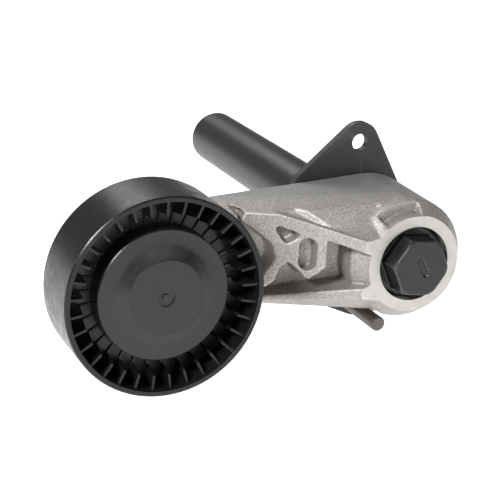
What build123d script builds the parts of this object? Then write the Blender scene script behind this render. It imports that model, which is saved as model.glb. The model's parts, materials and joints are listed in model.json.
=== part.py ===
"""Automatic belt tensioner: a smooth pulley on a die-cast arm, sprung by a torsion bar in a tube.

Frame: millimetres. +Y runs along the pivot axis towards the free end of the torsion tube, +Z is up.
The origin is on the pivot axis, in the back face of the base plate.
The arm is modelled along -X from the pivot and then raised by arm_angle about the pivot axis.
Angles are in degrees, seen from the front, from +X towards +Z.
A depth is a distance along +Y behind the front face that its comment names.
"""
import math
import os
from build123d import *

# ---- driving dimensions: base -------------------------------------------------------------
plate_thickness = 3.0
plate_core_radius = 21.6
plate_left_lobe = (-19.0, 16.5, 11.0)      # x, z and radius of a lobe of the plate's outline
plate_low_lobe = (-12.0, -20.0, 9.5)
pin_lobe_shift = (5.2, -0.6)               # the third lobe's centre from the stop pin
pin_lobe_radius = 7.0
tube_radius = 11.6
journal_radius = 11.0       # the tube in the arm, the plate and the relief behind the plate
relief_length = 2.6
tube_wall = 3.0
tube_reach = 146.5          # from the plate's back face to the free end
tube_front_depth = 12.4     # tube's front end behind the hub's bore face
tube_edge_round = 0.9
lug_hole_radius = 3.25
lug_hole_x = -1.1
lug_hole_z = 34.9
lug_tip_radius = 7.8
pin_radius = 2.8
pin_orbit = 28.2            # pivot axis to stop pin axis
pin_angle = -103.8
pin_reach = 29.0            # in front of the plate
pin_edge = 0.4
rivet_head_radius = 4.2     # countersunk, flush with the plate's back
rivet_head_height = 1.4
plug_length = 15.0
washer_thickness = 1.0
washer_radius = 19.0

# ---- driving dimensions: torsion bar and drive head ----------------------------------------
bar_radius = 3.25
bar_end_radius = 5.0
bar_end_length = 14.0
bar_end_taper = 5.0
bar_hex_flats = 9.0
bar_foot_recess = 0.5       # bar's foot inside the plug's outer face
hex_flats = 20.0
hex_corner_radius = 11.45
hex_corner_round = 1.1
hex_stand_out = 6.0         # hexagon's top face in front of the hub's bore face
hex_turn = 174.6            # angle of one corner
collar_depth = 3.2          # collar's front face behind the hub's bore face
collar_thickness = 6.5
collar_edge = 0.8
spigot_length = 14.0
mark_length = 8.6           # punched slot in the hexagon's top
mark_width = 2.3
mark_depth = 0.8
mark_angle = -62.0
mark_place = (0.3, 0.5)

# ---- driving dimensions: arm casting -------------------------------------------------------
arm_length = 99.3           # pivot axis to pulley axis
arm_angle = 3.4
hub_length = 41.0
hub_back_radius = 23.2
hub_draft = 0.8             # the barrel is that much narrower behind its cone than at its back
hub_cone_depth = 6.8
hub_flat_reach = 20.5       # pivot axis to the flat under the hub
hub_flat_angle = -135.6
hub_flat_length = 25.0
face_ring_width = 3.9       # machined ring round the bore
bore_step = 1.0             # the bore is that much wider than the bush seat
bore_step_depth = 11.0
bush_wall = 1.75
bush_length = 11.0
bush_inset = 0.5            # bush ends inside the tube's front end and the hub's back
end_radius = 15.0
pad_front_depth = 24.0      # arm's front face beside the pulley, behind the hub's bore face
pad_gap = 7.3               # edge of that face outside the pulley's rim
slope_start = 19.0          # the front face starts to fall away here
boss_radius = 13.5
boss_edge = 1.5
thread_radius = 5.0
floor_depth_hub = 14.6      # web's floor behind the hub's bore face, at the hub and at the pad
floor_depth_pad = 30.5
upper_rib_low = (5.0, 16.0)      # inner edge, height at the hub and at the pad
upper_rib_high = (9.8, 19.6)     # outer edge
lower_rib_high = (-7.5, -16.2)
lower_rib_low = (-11.7, -17.6)
recess_start = 83.0         # curved recess in the top of the hub's cone
recess_sweep = 45.0
recess_depth = 6.0
recess_reach = 1.6          # past the hub's barrel
oval_length = 12.0          # oval cell in the ribs of the web
oval_width = 5.4
cell_depth = 5.0            # floor of the oval and the triangular cell behind the ribs' face
web_corner = 1.2            # rounding of the ribs and cells of the web
hub_step = 1.0              # the shoulder beside the hub lies that much behind the upper rib
shelf_depth = 3.2           # the surface above the rest of the rib lies that much behind it
shelf_wall_depth = 15.0     # foot of the slanting wall between them
rear_side_wall = 6.0        # round the cells in the arm's back
rear_wall = 4.0             # in front of them
rear_rib = 4.0
rear_corner = 2.0
stop_lug_reach = 29.6
stop_lug_width = 7.0
stop_lug_length = 10.0      # along the pivot axis, from the hub's back

# ---- driving dimensions: pulley and bearing ------------------------------------------------
pulley_radius = 35.0
pulley_width = 25.0
pulley_front_depth = -11.6  # pulley's front face behind the hub's bore face
rim_wall = 1.9
rim_chamfer = 0.5
rim_draft = 0.6
rib_count = 33
rib_phase = 2.7             # angle of the first rib
rib_thickness = 0.9
rib_drop = 1.8              # ribs' edge behind the rim's face, at the rim
rib_step = 8.2              # the same edge is that much deeper near the bearing seat
rib_slope = 1.2
rib_rear_drop = 5.0
hub_ring_wall = 2.9
lip_length = 3.0
lip_width = 1.4
web_thickness = 3.0
cap_flat_depth = 3.0        # cap's outer flat behind the rim's face
cap_rise = 2.5
cap_wall = 1.2
cap_skirt = 2.1
cap_cone = 4.9              # width of the cap's cone
cap_edge = 0.3
gate_radius = 3.1           # shallow round recess in the cap's middle
gate_pip_radius = 1.3
gate_depth = 0.7
bearing_bore_radius = 8.5
bearing_radius = 20.0
bearing_width = 12.0
ball_count = 8
ball_radius = 3.375
shoulder_width = 2.6        # ball orbit to the edge of each ring
cage_width = 2.6
cage_side = 0.7
seal_thickness = 0.8
seal_inset = 0.4
slinger_thickness = 0.8
slinger_dish = 1.0
slinger_cover = 1.15        # the slinger reaches that far over the bearing's outer ring
spacer_flange = 2.3
bolt_flange_width = 1.5     # the bolt's flange covers that much of the inner ring
bolt_flange_height = 1.6
bolt_flange_edge = 0.7
bolt_head_flats = 15.0
bolt_head_height = 4.4
bolt_head_round = 1.0
bolt_end_depth = 3.0        # bolt's end in front of the arm's back

# ---- clearances ----------------------------------------------------------------------------
end_play = 0.1              # arm hub to thrust washer, cap's skirt to bearing
running = 0.05              # bush on journal, bar end in drive head
ball_gap = 0.08
stop_gap = 0.05
bolt_gap = 0.1
loose = 0.3
spigot_gap = 0.6
overlap = 1.0               # how far cutting tools run past a face

# ---- places and radii that follow ------------------------------------------------------------
plate_front = -plate_thickness
washer_front = plate_front - washer_thickness
hub_back = washer_front - end_play
hub_front = hub_back - hub_length
tube_front = hub_front + tube_front_depth
tube_bore = tube_radius - tube_wall
foot_front = tube_reach - plug_length
bush_seat_radius = journal_radius + running + bush_wall
bore_radius = bush_seat_radius + bore_step
face_radius = bore_radius + face_ring_width
pad_radius = pulley_radius + pad_gap
pulley_front = hub_front + pulley_front_depth
pulley_back = pulley_front + pulley_width
bearing_front = pulley_front + cap_flat_depth + cap_wall + cap_skirt + 2 * end_play
bearing_back = bearing_front + bearing_width
bearing_middle = (bearing_front + bearing_back) / 2
ball_orbit = (bearing_bore_radius + bearing_radius) / 2
inner_shoulder = ball_orbit - shoulder_width
outer_shoulder = ball_orbit + shoulder_width
slinger_radius = outer_shoulder + slinger_cover
slinger_back = bearing_back + slinger_thickness
boss_front = slinger_back + spacer_flange
seat_ring_radius = bearing_radius + hub_ring_wall
web_end = arm_length - pad_radius


# ---- shared shapes -------------------------------------------------------------------------
def rod(radius, front, back):
    """Solid cylinder along Y."""
    return Pos(0, (front + back) / 2, 0) * Rot(90, 0, 0) * Cylinder(radius, back - front)


def tube(outer, inner, front, back):
    """Hollow cylinder along Y."""
    return rod(outer, front, back) - rod(inner, front - overlap, back + overlap)


def turned(outline):
    """Solid of revolution about Y from (radius, y) corners."""
    return revolve(make_face(Polyline(*outline, close=True)), Axis.Y)


def standing(face, front, back):
    """A face drawn in (x, z), extruded along Y from front to back."""
    return extrude(Plane.XZ.offset(-back) * face, back - front)


def polygon(corners):
    return make_face(Polyline(*corners, close=True))


def hexagon_prism(flats, front, back, turn=0.0):
    return standing(Rot(0, 0, turn) * RegularPolygon(flats / math.sqrt(3), 6), front, back)


def corner(radius, angle):
    return (radius * math.cos(math.radians(angle)), radius * math.sin(math.radians(angle)))


def side_of(first, second, third, size=200.0):
    """Block that fills the side of a plane that its three (x, y, z) points turn anticlockwise about."""
    across = Vector(*second) - Vector(*first)
    normal = across.cross(Vector(*third) - Vector(*first)).normalized()
    plane = Plane(origin=Vector(*first), x_dir=across.normalized(), z_dir=normal)
    return plane * Pos(0, 0, size / 2) * Box(size, size, size)


def raised(shape):
    """Turn a shape built along -X up to the arm's rest angle."""
    return Rot(0, arm_angle, 0) * shape


def at_pulley(shape):
    """Move a shape built about Y to the pulley's axis at rest."""
    return raised(Pos(-arm_length, 0, 0) * shape)


# ---- base ----------------------------------------------------------------------------------
def base_plate():
    """Steel plate: an outline pulled tight round its lobes, with a lug for one bolt."""
    pin_x, pin_z = corner(pin_orbit, pin_angle)
    lobes = [
        (lug_hole_x, lug_hole_z, lug_tip_radius),
        plate_left_lobe,
        plate_low_lobe,
        (pin_x + pin_lobe_shift[0], pin_z + pin_lobe_shift[1], pin_lobe_radius),
        (0.0, 0.0, plate_core_radius),
    ]
    edges = []
    for x, z, radius in lobes:
        edges += (Pos(x, z) * Circle(radius)).edges()
    plate = standing(make_hull(edges), plate_front, 0.0)
    plate -= rod(journal_radius, plate_front - overlap, overlap)
    plate -= Pos(lug_hole_x, 0, lug_hole_z) * rod(lug_hole_radius, plate_front - overlap, overlap)
    return plate - Pos(pin_x, 0, pin_z) * riveted_pin()


def torsion_tube():
    """Tube with a journal for the arm and the plate, and behind a relief the seat that enters the engine."""
    body = rod(tube_radius, relief_length, tube_reach)
    body = fillet(body.faces().sort_by(Axis.Y)[-1].edges(), tube_edge_round)
    return body + rod(journal_radius, tube_front, tube_reach / 2) - rod(tube_bore, tube_front, tube_reach)


def tube_end_plug():
    plug = rod(tube_bore, foot_front, tube_reach - tube_edge_round)
    return plug - hexagon_prism(bar_hex_flats, foot_front - overlap, tube_reach + overlap)


def torsion_bar():
    """Round spring bar: a hexagonal foot in the end plug, a round front end in the drive head."""
    head_back = hub_front + collar_depth + collar_thickness + spigot_length
    taper_end = head_back + bar_end_taper
    front = head_back - bar_end_length
    bar = turned([
        (0, front), (bar_end_radius, front), (bar_end_radius, head_back), (bar_radius, taper_end),
        (bar_radius, foot_front), (0, foot_front)])
    return bar + hexagon_prism(bar_hex_flats, foot_front, tube_reach - tube_edge_round - bar_foot_recess)


def riveted_pin():
    """The stop pin about Y: its end is riveted into a countersink in the plate's back."""
    tip = plate_front - pin_reach
    return turned([
        (0, tip), (pin_radius - pin_edge, tip), (pin_radius, tip + pin_edge),
        (pin_radius, -rivet_head_height), (rivet_head_radius, 0), (0, 0)])


def stop_pin():
    x, z = corner(pin_orbit, pin_angle)
    return Pos(x, 0, z) * riveted_pin()


def thrust_washer():
    return tube(washer_radius, journal_radius, washer_front, plate_front)


# ---- arm -----------------------------------------------------------------------------------
def web_x(share):
    """Place along the open web: 0 where the front face starts to slope, 1 at the pad's edge."""
    return -(slope_start + share * (web_end - slope_start))


def front_y(share):
    return hub_front + pad_front_depth * share


def on_front(share, heights):
    """Point on the sloping front face, between a rib edge's two heights."""
    return (web_x(share), front_y(share), heights[0] + share * (heights[1] - heights[0]))


def on_side(share, depth, inside, upper=True):
    """Point at a depth near the arm's upper or lower edge, a little inside it."""
    x = web_x(share)
    edge = hub_back_radius + (hub_back_radius - end_radius) * x / arm_length - inside
    return (x, hub_front + depth, edge if upper else -edge)


def arm_outline(inset=0.0):
    """The arm seen from the front: the hull of its two ends."""
    hub = Circle(hub_back_radius - inset)
    end = Pos(-arm_length, 0) * Circle(end_radius - inset)
    return make_hull(hub.edges() + end.edges())


def arm_side():
    """The arm seen from above, extruded through its height."""
    tip = -(arm_length + end_radius + overlap)
    pad = front_y(1)
    height = 2 * (hub_back_radius + overlap)
    outline = polygon([
        (0, hub_front), (web_x(0), hub_front), (web_x(1), pad), (tip, pad), (tip, hub_back), (0, hub_back)])
    return Pos(0, 0, -height / 2) * extrude(outline, height)


def above_rib():
    """All that lies above the outer edge of the upper rib."""
    first = on_front(-0.2, upper_rib_high)
    last = on_front(0.9, upper_rib_high)
    far = -2 * arm_length
    area = polygon([
        (first[0], first[2]), (last[0], last[2]), (far, last[2]), (far, 2 * hub_back_radius),
        (first[0], 2 * hub_back_radius)])
    return standing(area, hub_front - overlap, hub_back)


def shoulder_plane(lower):
    """Block in front of the shoulder, which falls away from the upper rib's outer edge."""
    corners = [on_front(0.1, upper_rib_high), on_side(0.24, 15.0, 0.3), on_front(0.8, upper_rib_high)]
    return side_of(*[(x, y + lower, z) for x, y, z in corners])


def shelf():
    """The lowest surface above the upper rib; by the hub it ends in a slanting wall."""
    end_wall = side_of(
        (web_x(0.10), hub_front + hub_step, 0), (web_x(0.10), hub_front + hub_step, hub_back_radius),
        (web_x(0.45), hub_front + shelf_wall_depth, 0))
    return shoulder_plane(shelf_depth) & end_wall


def shoulders():
    """What is pared off in front: the shoulder and draft above the upper rib, and the skirt below."""
    shoulder = (shoulder_plane(hub_step) + shelf()) & above_rib()
    shoulder += shoulder_plane(0)
    draft = side_of(on_front(0.7, upper_rib_high), on_side(0.4, 27.0, -0.1), on_side(0.85, 34.0, -0.1))
    skirt = side_of(
        on_front(0.1, lower_rib_low), on_front(0.8, lower_rib_low), on_side(0.12, 19.6, 0.0, upper=False))
    return shoulder + draft + skirt


def in_front(depth_hub, depth_pad, past_pad=1.2):
    """Block in front of a floor that is that deep at the hub and at the pad."""
    front = hub_front - overlap
    floor = hub_front + depth_hub
    fall = depth_pad - depth_hub
    profile = polygon([
        (0, front), (0, floor), (web_x(0), floor), (web_x(past_pad), floor + past_pad * fall),
        (web_x(past_pad), front)])
    return Pos(0, 0, -hub_back_radius) * extrude(profile, 2 * hub_back_radius)


def web_pocket():
    """The open web between the two ribs, with a floor that falls towards the pulley."""
    area = polygon([
        (web_x(-0.1), 0.9 * upper_rib_low[0]),
        (web_x(0), upper_rib_low[0]),
        (web_x(1.1), upper_rib_low[1] + 1.4),
        (web_x(1.1), lower_rib_high[1] - 0.5),
        (web_x(0), lower_rib_high[0]),
        (web_x(-0.1), lower_rib_high[0] + 0.9),
    ])
    area -= Pos(-arm_length, 0) * Circle(pad_radius)
    return standing(area, hub_front - overlap, hub_back) & in_front(floor_depth_hub, floor_depth_pad)


def cross_ribs():
    """The X of ribs that stands in the web, drawn in (share along the web, height)."""
    outline = [
        (0.97, 17.4), (0.33, 9.3), (0.32, -1.2), (0.40, -4.6), (0.47, -7.0), (0.53, -4.0), (0.63, -0.6),
        (0.70, -3.4), (0.73, -8.4), (0.83, -12.6), (0.86, -8.6), (0.80, -4.4), (0.73, 0.4), (0.77, 5.6),
        (0.93, 10.4), (1.04, 13.0),
    ]
    gusset = [(0.79, 13.2), (0.52, 9.8), (0.655, 5.6)]
    area = polygon([(web_x(share), height) for share, height in outline])
    area = fillet(area.vertices(), web_corner)
    cells = polygon([(web_x(share), height) for share, height in gusset])
    cells = fillet(cells.vertices(), web_corner)
    cells += Pos(web_x(0.475), 2.7) * SlotOverall(oval_length, oval_width, rotation=90)
    floor = in_front(cell_depth, pad_front_depth + cell_depth)
    return standing(area, hub_front, hub_back) - (standing(cells, hub_front - overlap, hub_back) & floor)


def rear_cells():
    """Cells cast into the arm's back behind the web and the pad, with ribs between them."""
    pulley_end = Pos(-arm_length, 0)
    area = arm_outline(rear_side_wall)
    area -= Circle(hub_back_radius)
    area -= pulley_end * Circle(boss_radius)
    area -= Pos(-arm_length / 2, 0) * Rectangle(arm_length, rear_rib)
    area -= Pos(web_x(1), 0) * Rectangle(rear_rib, 2 * hub_back_radius)
    area = fillet(area.vertices(), rear_corner)
    floor_hub = hub_front + floor_depth_hub + rear_wall
    floor_pad = hub_front + floor_depth_pad + rear_wall
    behind = hub_back + overlap
    past_pad = -(arm_length + end_radius)
    profile = polygon([
        (0, floor_hub), (web_x(0), floor_hub), (web_x(1), floor_pad), (web_x(1), front_y(1) + rear_wall),
        (past_pad, front_y(1) + rear_wall), (past_pad, behind), (0, behind)])
    behind_floor = Pos(0, 0, -hub_back_radius) * extrude(profile, 2 * hub_back_radius)
    return standing(area, hub_front, behind) & behind_floor


def hub_body():
    """Hub of the arm: a slightly drafted barrel with a coned front, a machined ring and a flat below."""
    barrel = turned([
        (0, hub_front),
        (face_radius, hub_front),
        (hub_back_radius - hub_draft, hub_front + hub_cone_depth),
        (hub_back_radius, hub_back),
        (0, hub_back),
    ])
    flat = Pos(hub_flat_reach + hub_back_radius / 2, hub_front + hub_flat_length / 2, 0) * Box(
        hub_back_radius, hub_flat_length + overlap, 2 * hub_back_radius)
    return barrel - Rot(0, -hub_flat_angle, 0) * flat


def kidney_recess():
    """Curved recess in the top of the hub's cone."""
    inner = face_radius + overlap / 5
    outer = hub_back_radius + recess_reach
    recess_end = recess_start + recess_sweep
    band = make_face(
        [
            CenterArc((0, 0), inner, recess_start, recess_sweep),
            CenterArc((0, 0), outer, recess_start, recess_sweep),
            Line(corner(inner, recess_start), corner(outer, recess_start)),
            Line(corner(inner, recess_end), corner(outer, recess_end)),
        ])
    return standing(band, hub_front - overlap, hub_front + recess_depth)


def stop_lug():
    """Lug under the hub; its flat side rests against the stop pin."""
    face_angle = pin_angle + math.degrees(math.asin((pin_radius + stop_gap) / pin_orbit))
    block = Pos(stop_lug_reach / 2, hub_back - stop_lug_length / 2, stop_lug_width / 2) * Box(
        stop_lug_reach, stop_lug_length, stop_lug_width)
    return Rot(0, -face_angle, 0) * block


def pulley_boss():
    """Round boss that the pulley stands on, with a small fillet-like skirt on the pad."""
    pad = front_y(1)
    foot = boss_radius + boss_edge
    return Pos(-arm_length, 0, 0) * turned([
        (0, boss_front), (boss_radius - boss_edge, boss_front), (boss_radius, boss_front + boss_edge),
        (boss_radius, pad - boss_edge), (foot, pad), (foot, pad + overlap), (0, pad + overlap)])


def arm_casting():
    arm = standing(arm_outline(), hub_front, hub_back) & arm_side()
    arm -= shoulders()
    arm -= web_pocket() - cross_ribs()
    arm -= rear_cells()
    arm += pulley_boss()
    arm += hub_body()
    arm -= kidney_recess()
    arm -= Pos(-arm_length, 0, 0) * rod(thread_radius, boss_front - overlap, hub_back + overlap)
    arm = raised(arm)
    arm += stop_lug()
    arm -= rod(bore_radius, hub_front - overlap, hub_front + bore_step_depth)
    arm -= rod(bush_seat_radius, hub_front, hub_back + overlap)
    return arm


def drive_head():
    """Black drive head: hexagon, collar pressed in the hub's bore, and a spigot with a socket for the bar."""
    top = hub_front - hex_stand_out
    collar_front = hub_front + collar_depth
    collar_back = collar_front + collar_thickness
    back = collar_back + spigot_length
    root = collar_front + overlap
    hexagon = hexagon_prism(hex_flats, top, root, hex_turn)
    rounding = turned([
        (0, top), (hex_corner_radius - hex_corner_round, top), (hex_corner_radius, top + hex_corner_round),
        (hex_corner_radius, root), (0, root)])
    head = hexagon & rounding
    head += turned([
        (0, collar_front), (bore_radius - collar_edge, collar_front),
        (bore_radius, collar_front + collar_edge), (bore_radius, collar_back), (0, collar_back)])
    head += rod(tube_bore - spigot_gap, collar_back, back)
    head -= rod(bar_end_radius + running, back - bar_end_length - loose, back + overlap)
    slot = standing(SlotOverall(mark_length, mark_width), top - overlap, top + mark_depth)
    return raised(head - Pos(mark_place[0], 0, mark_place[1]) * Rot(0, -mark_angle, 0) * slot)


def pivot_bush(front):
    """Plain bush between the tube and the arm's bore."""
    return tube(bush_seat_radius, journal_radius + running, front, front + bush_length)


def pulley_bolt():
    """Flange bolt that clamps the bearing's inner ring and the spacer to the arm."""
    flange_front = bearing_front - bolt_flange_height
    flange_radius = bearing_bore_radius + bolt_flange_width
    head_front = bearing_front - bolt_head_height
    head_corner = bolt_head_flats / 2 + bolt_head_round
    head = hexagon_prism(bolt_head_flats, head_front, bearing_front)
    head &= turned([
        (0, head_front), (bolt_head_flats / 2, head_front), (head_corner, head_front + bolt_head_round),
        (head_corner, bearing_front), (0, bearing_front)])
    bolt = head + turned([
        (0, flange_front), (flange_radius - bolt_flange_edge, flange_front),
        (flange_radius, flange_front + bolt_flange_edge), (flange_radius, bearing_front), (0, bearing_front)])
    bolt += rod(thread_radius, flange_front, hub_back - bolt_end_depth)
    return at_pulley(bolt)


def pulley_spacer():
    """Stepped sleeve: through the inner ring, then a flange that stands on the arm's boss."""
    bore = thread_radius + bolt_gap
    sleeve = tube(bearing_bore_radius, bore, bearing_front, slinger_back)
    flange = tube(inner_shoulder, bore, slinger_back, boss_front)
    return at_pulley(sleeve + flange)


def rear_slinger():
    """Thin dished disc that keeps dirt from the bearing's back, clamped against the inner ring."""
    edge = slinger_radius - slinger_thickness
    step = inner_shoulder + loose
    rim_back = slinger_back + slinger_dish
    return at_pulley(turned([
        (bearing_bore_radius, bearing_back), (inner_shoulder, bearing_back), (step, bearing_back + loose),
        (slinger_radius, bearing_back + loose), (slinger_radius, rim_back), (edge, rim_back),
        (edge, slinger_back + loose), (step, slinger_back + loose), (inner_shoulder, slinger_back),
        (bearing_bore_radius, slinger_back)]))


# ---- bearing -------------------------------------------------------------------------------
def ball_track():
    return Pos(0, bearing_middle, 0) * Rot(90, 0, 0) * Torus(ball_orbit, ball_radius + ball_gap)


def bearing_inner_ring():
    return at_pulley(tube(inner_shoulder, bearing_bore_radius, bearing_front, bearing_back) - ball_track())


def bearing_outer_ring():
    return at_pulley(tube(bearing_radius, outer_shoulder, bearing_front, bearing_back) - ball_track())


def ball_angles():
    return [360 * k / ball_count for k in range(ball_count)]


def bearing_balls():
    balls = []
    for angle in ball_angles():
        balls.append(at_pulley(Rot(0, angle, 0) * Pos(ball_orbit, bearing_middle, 0) * Sphere(ball_radius)))
    return Compound(children=balls)


def bearing_cage():
    """Band between the rings with a round window for each ball."""
    half = ball_radius + cage_side
    outer = ball_orbit + cage_width / 2
    inner = ball_orbit - cage_width / 2
    cage = tube(outer, inner, bearing_middle - half, bearing_middle + half)
    window = Pos(ball_orbit, bearing_middle, 0) * Rot(0, 90, 0) * Cylinder(
        ball_radius + ball_gap, cage_width + 2 * overlap)
    for angle in ball_angles():
        cage -= Rot(0, angle, 0) * window
    return at_pulley(cage)


def bearing_seal(front):
    return at_pulley(tube(outer_shoulder, inner_shoulder + loose, front, front + seal_thickness))


# ---- pulley --------------------------------------------------------------------------------
def wheel_rim(web_front, web_back):
    inner = pulley_radius - rim_wall
    bevel = pulley_radius - rim_chamfer
    return turned([
        (inner, pulley_front), (bevel, pulley_front), (pulley_radius, pulley_front + rim_chamfer),
        (pulley_radius, pulley_back - rim_chamfer), (bevel, pulley_back), (inner, pulley_back),
        (inner - rim_draft, web_back), (inner - rim_draft, web_front)])


def wheel_seat(web_front, web_back):
    """Ring that holds the bearing, with a lip behind it."""
    front = pulley_front + cap_flat_depth + cap_wall
    lip = bearing_radius - lip_width
    lip_end = bearing_back + lip_length
    return turned([
        (bearing_radius, front), (seat_ring_radius, front), (seat_ring_radius + rim_draft / 2, web_front),
        (seat_ring_radius + rim_draft / 2, web_back), (seat_ring_radius, lip_end), (lip, lip_end),
        (lip, bearing_back), (bearing_radius, bearing_back)])


def pulley_wheel():
    """Moulded wheel: plain rim, bearing seat, mid web and a fan of radial ribs on both sides."""
    web_front = (pulley_front + pulley_back - web_thickness) / 2
    web_back = web_front + web_thickness
    rim_bore = pulley_radius - rim_wall
    bite = 0.5
    inner = seat_ring_radius - bite
    outer = rim_bore + bite
    step = seat_ring_radius + 0.4 * (rim_bore - seat_ring_radius)
    edge = pulley_front + rib_drop
    wheel = wheel_rim(web_front, web_back) + wheel_seat(web_front, web_back)
    wheel += tube(outer, inner, web_front, web_back)
    front_rib = polygon([
        (inner, edge + rib_step + bite), (step, edge + rib_step), (step + rib_slope, edge + bite),
        (outer, edge), (outer, web_front + bite), (inner, web_front + bite)])
    rear_rib = polygon([
        (inner, pulley_back - rib_rear_drop), (outer, pulley_back - rib_drop), (outer, web_back - bite),
        (inner, web_back - bite)])
    ribs = []
    for face in (front_rib, rear_rib):
        rib = extrude(face, rib_thickness / 2, both=True)
        ribs += [Rot(0, 360 * k / rib_count - rib_phase, 0) * rib for k in range(rib_count)]
    return at_pulley(wheel.fuse(*ribs))


def dust_cap():
    """Stepped cap over the bearing, with a skirt that snaps into the bearing seat."""
    flat = pulley_front + cap_flat_depth
    top = flat - cap_rise
    under = flat + cap_wall
    skirt_bore = bearing_radius - cap_wall
    cone_foot = skirt_bore - cap_wall / 2
    cone_top = cone_foot - cap_cone
    cap = turned([
        (0, top), (cone_top - cap_edge, top), (cone_top, top + cap_edge), (cone_foot, flat),
        (seat_ring_radius - cap_edge, flat), (seat_ring_radius, flat + cap_edge), (seat_ring_radius, under),
        (bearing_radius, under), (bearing_radius, under + cap_skirt), (skirt_bore, under + cap_skirt),
        (skirt_bore, under), (cone_foot - cap_wall / 2, under), (cone_top - cap_wall / 2, top + cap_wall),
        (0, top + cap_wall)])
    gate = tube(gate_radius, gate_pip_radius, top - overlap, top + gate_depth)
    return at_pulley(cap - gate)


def parts():
    return {
        "base_plate": base_plate(),
        "torsion_tube": torsion_tube(),
        "tube_end_plug": tube_end_plug(),
        "torsion_bar": torsion_bar(),
        "stop_pin": stop_pin(),
        "thrust_washer": thrust_washer(),
        "arm_casting": arm_casting(),
        "drive_head": drive_head(),
        "front_bush": pivot_bush(tube_front + bush_inset),
        "rear_bush": pivot_bush(hub_back - bush_inset - bush_length),
        "pulley_bolt": pulley_bolt(),
        "pulley_spacer": pulley_spacer(),
        "rear_slinger": rear_slinger(),
        "bearing_inner_ring": bearing_inner_ring(),
        "bearing_outer_ring": bearing_outer_ring(),
        "bearing_balls": bearing_balls(),
        "bearing_cage": bearing_cage(),
        "bearing_seal_front": bearing_seal(bearing_front + seal_inset),
        "bearing_seal_rear": bearing_seal(bearing_back - seal_inset - seal_thickness),
        "pulley_wheel": pulley_wheel(),
        "dust_cap": dust_cap(),
    }


os.makedirs("parts", exist_ok=True)
for node, shape in parts().items():
    export_step(shape, f"parts/{node}.step")
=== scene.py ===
"""Looks of the belt tensioner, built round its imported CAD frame. Metres, in the CAD's own frame.

+Y runs along the pivot axis to the rear, +Z is up, and the arm points to -X.
"""
import json
import math

import bmesh
import bpy
import numpy as np
from mathutils import Matrix, Vector


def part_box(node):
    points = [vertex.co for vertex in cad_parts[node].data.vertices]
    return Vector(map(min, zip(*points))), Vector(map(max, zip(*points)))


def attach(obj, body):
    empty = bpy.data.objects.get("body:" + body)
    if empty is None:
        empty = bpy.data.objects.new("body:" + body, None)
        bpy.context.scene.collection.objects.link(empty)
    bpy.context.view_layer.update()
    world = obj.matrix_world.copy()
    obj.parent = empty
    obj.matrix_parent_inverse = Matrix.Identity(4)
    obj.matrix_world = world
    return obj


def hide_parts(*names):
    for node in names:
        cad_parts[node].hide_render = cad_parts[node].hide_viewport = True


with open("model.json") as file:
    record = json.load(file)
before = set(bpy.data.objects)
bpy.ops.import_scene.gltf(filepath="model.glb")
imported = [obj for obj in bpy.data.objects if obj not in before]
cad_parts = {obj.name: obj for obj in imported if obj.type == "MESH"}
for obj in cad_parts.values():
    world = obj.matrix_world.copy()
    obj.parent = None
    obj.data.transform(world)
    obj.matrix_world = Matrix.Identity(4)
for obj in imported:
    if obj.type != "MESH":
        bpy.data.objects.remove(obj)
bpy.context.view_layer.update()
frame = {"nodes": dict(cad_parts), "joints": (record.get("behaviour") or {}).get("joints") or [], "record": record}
nodes = frame["nodes"]
joints = {joint["name"]: joint for joint in frame["joints"]}
MM = 0.001
weld_gap = 0.002 * MM       # CAD points closer than this are one

# ---- places read from the frame --------------------------------------------------------------
pulley_axis = Vector(joints["pulley_spin"]["pos_m"])
wheel_low, wheel_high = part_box("pulley_wheel")
rim_radius = (wheel_high.z - wheel_low.z) / 2
head_low, head_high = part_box("drive_head")
collar_radius = (head_high.z - head_low.z) / 2
arm_low, arm_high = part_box("arm_casting")
hub_face = arm_low.y
swing_limit = math.radians(joints["arm_swing"]["range_deg"][1])
reach = math.hypot(pulley_axis.x, pulley_axis.z)
lowest_axis = reach * math.sin(math.atan2(pulley_axis.z, -pulley_axis.x) - swing_limit)
floor_gap = 1 * MM
floor_level = lowest_axis - rim_radius - floor_gap     # the pulley clears the floor at the swing's limit


# ---- mesh helpers ----------------------------------------------------------------------------
def evaluated_mesh(piece):
    """The piece's mesh with its modifiers applied."""
    bpy.context.view_layer.update()
    graph = bpy.context.evaluated_depsgraph_get()
    return bpy.data.meshes.new_from_object(piece.evaluated_get(graph))


def apply_modifiers(piece):
    mesh = evaluated_mesh(piece)
    piece.modifiers.clear()
    piece.data = mesh


def smooth_shade(mesh):
    mesh.polygons.foreach_set("use_smooth", [True] * len(mesh.polygons))


def linked_object(name, data):
    """A new object in the scene, made from a mesh, a light or a camera."""
    piece = bpy.data.objects.new(name, data)
    bpy.context.scene.collection.objects.link(piece)
    return piece


def drop(*pieces):
    for piece in pieces:
        bpy.data.objects.remove(piece)


def cutter_object(name, work, material):
    """An object to cut with, made from a bmesh, whose material the cut faces take."""
    mesh = bpy.data.meshes.new(name)
    work.to_mesh(mesh)
    work.free()
    mesh.materials.append(material)
    return linked_object(name, mesh)


def block_cutter(name, side, back, material):
    """Cube on the pivot axis that reaches back to a plane across Y."""
    work = bmesh.new()
    place = Matrix.Translation((0, back - side / 2, 0)) @ Matrix.Scale(side, 4)
    bmesh.ops.create_cube(work, size=1.0, matrix=place)
    return cutter_object(name, work, material)


def cylinder_cutter(name, radius, front, back, material):
    """Closed cylinder on the pivot axis."""
    segments = 192
    work = bmesh.new()
    turn = Matrix.Rotation(math.radians(90), 4, "X")
    place = Matrix.Translation((0, (front + back) / 2, 0)) @ turn
    bmesh.ops.create_cone(work, cap_ends=True, segments=segments, radius1=radius, radius2=radius,
                          depth=back - front, matrix=place)
    return cutter_object(name, work, material)


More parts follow.
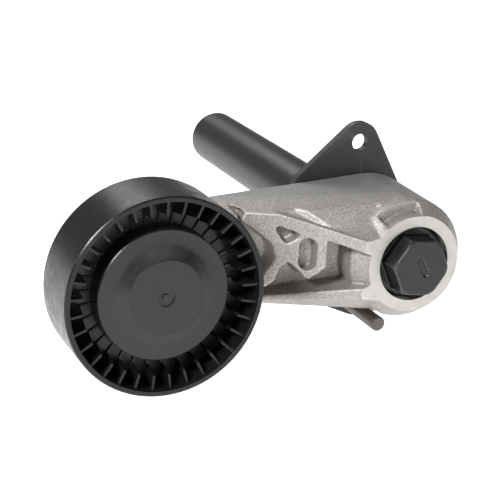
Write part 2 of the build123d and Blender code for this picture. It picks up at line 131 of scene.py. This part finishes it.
# ---- materials -------------------------------------------------------------------------------
def new_material(name):
    material = bpy.data.materials.new(name)
    material.use_nodes = True
    tree = material.node_tree
    shader = tree.nodes["Principled BSDF"]
    place = tree.nodes.new("ShaderNodeTexCoord").outputs["Object"]
    return material, tree, shader, place


def noise_node(tree, place, feature, detail=3.0, roughness=0.55, stretch=None):
    """Noise whose lumps are about feature metres across, optionally stretched along an axis."""
    node = tree.nodes.new("ShaderNodeTexNoise")
    node.inputs["Scale"].default_value = 1.0 / feature
    node.inputs["Detail"].default_value = detail
    node.inputs["Roughness"].default_value = roughness
    if stretch:
        mapping = tree.nodes.new("ShaderNodeMapping")
        mapping.inputs["Scale"].default_value = stretch
        tree.links.new(place, mapping.inputs["Vector"])
        place = mapping.outputs["Vector"]
    tree.links.new(place, node.inputs["Vector"])
    return node.outputs["Fac"]


def ramp(tree, value, *stops):
    """Colour ramp through (position, grey or colour) stops."""
    node = tree.nodes.new("ShaderNodeValToRGB")
    elements = node.color_ramp.elements
    while len(elements) < len(stops):
        elements.new(0.5)
    for element, (position, colour) in zip(elements, stops):
        element.position = position
        colour = (colour,) * 3 if isinstance(colour, (int, float)) else colour
        element.color = (*colour, 1.0)
    tree.links.new(value, node.inputs["Fac"])
    return node.outputs["Color"]


def mix(tree, factor, first, second, blend="MIX"):
    """Mix two colours, each an output or a plain colour, by an output or a number."""
    node = tree.nodes.new("ShaderNodeMix")
    node.data_type = "RGBA"
    node.blend_type = blend
    for socket, value in ((node.inputs[0], factor), (node.inputs[6], first), (node.inputs[7], second)):
        if isinstance(value, bpy.types.NodeSocket):
            tree.links.new(value, socket)
        elif socket.type == "RGBA":
            socket.default_value = (*value, 1.0)
        else:
            socket.default_value = value
    return node.outputs[2]


def bump(tree, height, depth, strength=1.0, under=None):
    """Bump of a real depth in metres, on top of another one."""
    node = tree.nodes.new("ShaderNodeBump")
    node.inputs["Strength"].default_value = strength
    node.inputs["Distance"].default_value = depth
    tree.links.new(height, node.inputs["Height"])
    if under:
        tree.links.new(under, node.inputs["Normal"])
    return node.outputs["Normal"]


def shades(colour, spread):
    """A colour made darker and lighter by a share."""
    dark = tuple(part * (1 - spread) for part in colour)
    light = tuple(part * (1 + spread) for part in colour)
    return dark, light


def worn_finish(name, colour, metallic, rough, grain, grain_depth, spread=0.18, rough_spread=0.08,
                edge=None, specular=0.5, stretch=None, speck=0.08):
    """General finish: fine grain, slow blotches, uneven gloss and, if edge is a colour, edges lighter with wear.
    """
    blotch = 9 * MM
    material, tree, shader, place = new_material(name)
    fine = noise_node(tree, place, grain, 4.0, 0.6, stretch)
    slow = noise_node(tree, place, blotch, 2.0, 0.5, stretch)
    dark, light = shades(colour, spread)
    body = mix(tree, slow, dark, light)
    body = mix(tree, 1.0, body, ramp(tree, fine, (0.35, 1 - speck), (0.65, 1 + speck)), "MULTIPLY")
    if edge:
        curvature = tree.nodes.new("ShaderNodeNewGeometry").outputs["Pointiness"]
        rim = ramp(tree, curvature, (0.505, 0.0), (0.56, 1.0))
        patchy = mix(tree, 1.0, rim, ramp(tree, fine, (0.42, 0.0), (0.60, 1.0)), "MULTIPLY")
        body = mix(tree, patchy, body, edge)
    tree.links.new(body, shader.inputs["Base Color"])
    uneven = noise_node(tree, place, blotch / 3, 3.0)
    gloss = ramp(tree, uneven, (0.3, rough - rough_spread), (0.7, rough + rough_spread))
    tree.links.new(gloss, shader.inputs["Roughness"])
    tree.links.new(bump(tree, fine, grain_depth), shader.inputs["Normal"])
    shader.inputs["Metallic"].default_value = metallic
    shader.inputs["Specular IOR Level"].default_value = specular
    return material


def cast_aluminium():
    """Die casting: specks and grain over soft lumps, painted shade in hollows, painted highlight on edges, calmer
    where skin is 1.
    """
    material, tree, shader, place = new_material("cast_aluminium")
    grain = noise_node(tree, place, 0.55 * MM, 5.0, 0.65)
    lumps = noise_node(tree, place, 2.2 * MM, 3.0, 0.55)
    patches = noise_node(tree, place, 11 * MM, 2.0, 0.5)
    skin = tree.nodes.new("ShaderNodeAttribute")
    skin.attribute_name = "skin"
    skin = skin.outputs["Fac"]
    base = mix(tree, patches, (0.29, 0.275, 0.265), (0.43, 0.41, 0.395))
    speckle = ramp(tree, grain, (0.30, 0.55), (0.50, 1.0), (0.68, 1.45))
    rough_side = mix(tree, 1.0, base, speckle, "MULTIPLY")
    smooth_side = mix(tree, lumps, (0.29, 0.28, 0.27), (0.35, 0.34, 0.33))
    body = mix(tree, skin, rough_side, smooth_side)
    curvature = tree.nodes.new("ShaderNodeNewGeometry").outputs["Pointiness"]
    # painted shade: concave hollows and recesses, where shade falls, are darkened
    hollow = ramp(tree, curvature, (0.42, 0.30), (0.495, 1.0))
    body = mix(tree, 1.0, body, hollow, "MULTIPLY")
    # painted highlight: convex edges are lightened where light would catch them
    rim = ramp(tree, curvature, (0.51, 0.0), (0.60, 0.6))
    body = mix(tree, rim, body, (0.56, 0.54, 0.52))
    tree.links.new(body, shader.inputs["Base Color"])
    gloss = mix(tree, grain, (0.62, 0.62, 0.62), (0.42, 0.42, 0.42))
    tree.links.new(gloss, shader.inputs["Roughness"])
    depth = ramp(tree, skin, (0.0, 1.0), (1.0, 0.35))
    height = mix(tree, 1.0, ramp(tree, grain, (0.25, 0.0), (0.75, 1.0)), depth, "MULTIPLY")
    normal = bump(tree, lumps, 0.20 * MM)
    normal = bump(tree, height, 0.10 * MM, 0.8, normal)
    tree.links.new(normal, shader.inputs["Normal"])
    shader.inputs["Metallic"].default_value = 0.7
    return material


def turned_metal(name, colour, rough, centre=Vector((0, 0, 0)), depth=0.012 * MM):
    """Faced or turned metal: fine rings round an axis along Y."""
    pitch = 0.35 * MM
    material, tree, shader, place = new_material(name)
    offset = tree.nodes.new("ShaderNodeVectorMath")
    offset.operation = "SUBTRACT"
    offset.inputs[1].default_value = centre
    tree.links.new(place, offset.inputs[0])
    wave = tree.nodes.new("ShaderNodeTexWave")
    wave.wave_type = "RINGS"
    wave.rings_direction = "Y"
    wave.inputs["Scale"].default_value = 0.05 / pitch * 2 * math.pi
    wave.inputs["Distortion"].default_value = 0.6
    wave.inputs["Detail"].default_value = 1.0
    tree.links.new(offset.outputs[0], wave.inputs["Vector"])
    cloud = noise_node(tree, place, 5 * MM, 3.0)
    dark, light = shades(colour, 0.10)
    body = mix(tree, cloud, dark, light)
    rings = ramp(tree, wave.outputs["Fac"], (0.0, 0.93), (1.0, 1.05))
    body = mix(tree, 1.0, body, rings, "MULTIPLY")
    tree.links.new(body, shader.inputs["Base Color"])
    gloss = ramp(tree, noise_node(tree, place, 2 * MM), (0.3, rough - 0.06), (0.7, rough + 0.1))
    tree.links.new(gloss, shader.inputs["Roughness"])
    tree.links.new(bump(tree, wave.outputs["Fac"], depth), shader.inputs["Normal"])
    shader.inputs["Metallic"].default_value = 0.9
    return material


cast = cast_aluminium()
machined = turned_metal("machined_aluminium", (0.52, 0.505, 0.485), 0.46)
plate_black = worn_finish("plate_black", (0.022, 0.0205, 0.019), 0.2, 0.50, 0.5 * MM, 0.004 * MM,
                          edge=(0.10, 0.095, 0.09), spread=0.2)
tube_black = worn_finish("tube_black", (0.024, 0.023, 0.022), 0.25, 0.38, 0.6 * MM, 0.002 * MM,
                         spread=0.10, rough_spread=0.03, stretch=(1, 0.25, 1), speck=0.05)
drive_black = worn_finish("drive_black", (0.015, 0.014, 0.0128), 0.2, 0.33, 0.5 * MM, 0.004 * MM,
                          edge=(0.15, 0.14, 0.13), spread=0.15)
pin_steel = worn_finish("pin_steel", (0.12, 0.11, 0.105), 0.7, 0.45, 0.4 * MM, 0.004 * MM)
steel_plain = turned_metal("steel_plain", (0.42, 0.41, 0.40), 0.34)
spring_steel = worn_finish("spring_steel", (0.24, 0.23, 0.22), 0.9, 0.35, 0.5 * MM, 0.003 * MM,
                           stretch=(1, 0.1, 1))
bolt_steel = worn_finish("bolt_steel", (0.44, 0.43, 0.38), 0.9, 0.32, 0.5 * MM, 0.003 * MM)
slinger_steel = turned_metal("slinger_steel", (0.46, 0.45, 0.43), 0.32, pulley_axis)
bearing_steel = turned_metal("bearing_steel", (0.58, 0.58, 0.59), 0.18, pulley_axis, depth=0.004 * MM)
bush_plastic = worn_finish("bush_plastic", (0.50, 0.45, 0.34), 0.0, 0.5, 0.5 * MM, 0.01 * MM)
cage_plastic = worn_finish("cage_plastic", (0.55, 0.50, 0.36), 0.0, 0.5, 0.5 * MM, 0.01 * MM)
seal_rubber = worn_finish("seal_rubber", (0.045, 0.030, 0.026), 0.0, 0.62, 0.4 * MM, 0.01 * MM)
pulley_plastic = worn_finish("pulley_plastic", (0.0060, 0.0057, 0.0055), 0.0, 0.32, 0.35 * MM, 0.002 * MM,
                             spread=0.2, specular=0.35)
cap_plastic = worn_finish("cap_plastic", (0.0095, 0.0090, 0.0083), 0.0, 0.34, 0.3 * MM, 0.002 * MM,
                          spread=0.08, speck=0.04, specular=0.45)

finishes = {
    "plate_black": plate_black, "tube_black": tube_black, "drive_black": drive_black, "pin_steel": pin_steel,
    "steel_plain": steel_plain, "spring_steel": spring_steel, "bolt_steel": bolt_steel,
    "slinger_steel": slinger_steel, "bearing_steel": bearing_steel, "cast_aluminium": cast,
    "bush_plastic": bush_plastic, "cage_plastic": cage_plastic, "seal_rubber": seal_rubber,
    "pulley_plastic": pulley_plastic, "cap_plastic": cap_plastic,
}
for subpart in frame["record"]["subparts"]:
    mesh = nodes[subpart["node"]].data
    mesh.materials.clear()
    mesh.materials.append(finishes[subpart["material_slot"]])


# ---- edges of the CAD nodes ------------------------------------------------------------------
def break_edges(node, width, segments=3):
    """Rounds a CAD node's sharp edges with modifiers."""
    sharp_angle = math.radians(28)
    piece = nodes[node]
    weld = piece.modifiers.new("weld", "WELD")
    weld.merge_threshold = weld_gap
    bevel = piece.modifiers.new("bevel", "BEVEL")
    bevel.width = width
    bevel.segments = segments
    bevel.limit_method = "ANGLE"
    bevel.angle_limit = sharp_angle
    bevel.use_clamp_overlap = True
    normals = piece.modifiers.new("normals", "WEIGHTED_NORMAL")
    normals.keep_sharp = False
    smooth_shade(piece.data)


break_edges("base_plate", 0.35 * MM)
break_edges("stop_pin", 0.15 * MM, 2)
break_edges("pulley_wheel", 0.2 * MM, 2)
break_edges("dust_cap", 0.12 * MM)
break_edges("torsion_tube", 0.2 * MM, 2)


# ---- worn and cast pieces --------------------------------------------------------------------
def worn_copy(name, mesh, voxel, iterations, material):
    """A CAD mesh made again of small even faces, with its edges rounded off."""
    mesh.materials.clear()
    piece = linked_object(name, mesh)
    weld = piece.modifiers.new("weld", "WELD")
    weld.merge_threshold = weld_gap
    remesh = piece.modifiers.new("remesh", "REMESH")
    remesh.mode = "VOXEL"
    remesh.voxel_size = voxel
    smooth = piece.modifiers.new("smooth", "SMOOTH")
    smooth.factor = 0.5
    smooth.iterations = iterations
    apply_modifiers(piece)
    piece.data.materials.append(material)
    smooth_shade(piece.data)
    piece.data.set_sharp_from_angle(angle=math.radians(50))
    return piece


def drive_head_piece():
    """The drive head with softly rounded corners, edges and punched slot."""
    piece = worn_copy("drive_head_body", nodes["drive_head"].data.copy(), 0.3 * MM, 5, drive_black)
    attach(piece, "arm")
    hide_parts("drive_head")


def mark_skin(mesh):
    """Stores how near each point is to the arm's smooth outer sides: top, bottom and hub."""
    depth = 0.8 * MM            # the skin starts that deep under the outer sides
    fade = 0.5 * MM
    arm_line = Vector((pulley_axis.x, 0, pulley_axis.z))
    along = arm_line.normalized()
    hub_radius = arm_high.x
    end_radius = along.x * arm_low.x + along.z * pulley_axis.z - arm_line.length
    lean = (hub_radius - end_radius) / arm_line.length
    place = np.zeros(len(mesh.vertices) * 3)
    mesh.vertices.foreach_get("co", place)
    place = place.reshape(-1, 3)
    out = place[:, 0] * along.x + place[:, 2] * along.z
    across = np.abs(place[:, 2] * along.x - place[:, 0] * along.z)
    side = out * lean + across * math.sqrt(1 - lean * lean)
    barrel = np.hypot(place[:, 0], place[:, 2])
    flat = np.where(out > 0, side, barrel)
    skin = np.clip((flat - hub_radius + depth) / fade, 0, 1)
    mesh.attributes.new("skin", "FLOAT", "POINT").data.foreach_set("value", skin.astype(np.float32))


def arm_piece():
    """The casting: its edges rounded off, then its ring and bore machined."""
    proud = 0.9 * MM            # the hub's face is cast that much proud and cut back
    face_slack = 0.05 * MM
    bore_gap = 0.12 * MM        # round the drive head's collar
    bore_front = hub_face - 5 * MM
    bore_back = hub_face + 11 * MM
    mesh = nodes["arm_casting"].data.copy()
    for vertex in mesh.vertices:
        if vertex.co.y < hub_face + face_slack:
            vertex.co.y -= proud
    arm = worn_copy("arm_work", mesh, 0.45 * MM, 7, cast)
    front_cut = block_cutter("front_cut", 200 * MM, hub_face, machined)
    bore_cut = cylinder_cutter("bore_cut", collar_radius + bore_gap, bore_front, bore_back, machined)
    for cutter in (front_cut, bore_cut):
        cut = arm.modifiers.new(cutter.name, "BOOLEAN")
        cut.operation = "DIFFERENCE"
        cut.solver = "EXACT"
        cut.object = cutter
        cut.material_mode = "TRANSFER"
    mesh = evaluated_mesh(arm)
    drop(arm, front_cut, bore_cut)
    smooth_shade(mesh)
    mesh.set_sharp_from_angle(angle=math.radians(38))
    mark_skin(mesh)
    piece = linked_object("arm_body", mesh)
    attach(piece, "arm")
    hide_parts("arm_casting")


drive_head_piece()
arm_piece()


# ---- stage -----------------------------------------------------------------------------------
def stage_floor():
    """White floor that gives light itself, so that it reads as a white page with a soft shadow."""
    material, tree, shader, place = new_material("floor_white")
    cloud = noise_node(tree, place, 0.3)
    tree.links.new(ramp(tree, cloud, (0.3, 0.60), (0.7, 0.64)), shader.inputs["Base Color"])
    shader.inputs["Roughness"].default_value = 0.9
    shader.inputs["Specular IOR Level"].default_value = 0.1
    shader.inputs["Emission Color"].default_value = (1.0, 1.0, 1.0, 1.0)
    shader.inputs["Emission Strength"].default_value = 0.92
    half = 4.0
    mesh = bpy.data.meshes.new("floor")
    corners = [(-half, -half, 0), (half, -half, 0), (half, half, 0), (-half, half, 0)]
    mesh.from_pydata(corners, [], [(0, 1, 2, 3)])
    mesh.materials.append(material)
    floor = linked_object("floor", mesh)
    floor.location.z = floor_level


def soft_light(name, place, target, size, power):
    """Round area light that looks at the target."""
    data = bpy.data.lights.new(name, "AREA")
    data.shape = "DISK"
    data.size = size
    data.energy = power
    light = linked_object(name, data)
    light.location = place
    light.rotation_euler = (Vector(target) - Vector(place)).to_track_quat("-Z", "Y").to_euler()


def studio():
    """Dim even surroundings, a key light at the upper left and three weaker lights."""
    world = bpy.data.worlds.new("studio")
    bpy.context.scene.world = world
    world.use_nodes = True
    backdrop = world.node_tree.nodes["Background"]
    backdrop.inputs["Color"].default_value = (1.0, 1.0, 1.0, 1.0)
    backdrop.inputs["Strength"].default_value = 0.22
    middle = (-0.05, 0.0, 0.0)
    soft_light("key", (-0.70, -0.34, 0.60), middle, 0.25, 12.0)
    soft_light("front", (0.10, -0.90, 0.35), middle, 0.5, 1.2)
    soft_light("side", (0.7, -0.25, 0.35), middle, 0.3, 0.4)
    soft_light("back", (0.0, 0.8, 0.7), middle, 0.5, 2.5)
    bpy.context.scene.view_settings.view_transform = "Standard"


def photo_camera():
    """The camera that was fitted to the photo."""
    place = (-0.2553, -0.4877, 0.1846)
    azimuth = math.radians(-23.32)
    elevation = math.radians(19.46)
    data = bpy.data.cameras.new("camera")
    data.sensor_width = 36.0
    data.lens = 107.6
    data.clip_start = 0.01
    data.clip_end = 20.0
    camera = linked_object("camera", data)
    right = Vector((math.cos(azimuth), math.sin(azimuth), 0.0))
    forward = Vector((-math.sin(azimuth) * math.cos(elevation), math.cos(azimuth) * math.cos(elevation),
                      -math.sin(elevation)))
    up = right.cross(forward)
    turn = Matrix((right, up, -forward)).transposed()
    camera.matrix_world = Matrix.Translation(place) @ turn.to_4x4()
    bpy.context.scene.camera = camera


stage_floor()
studio()
photo_camera()
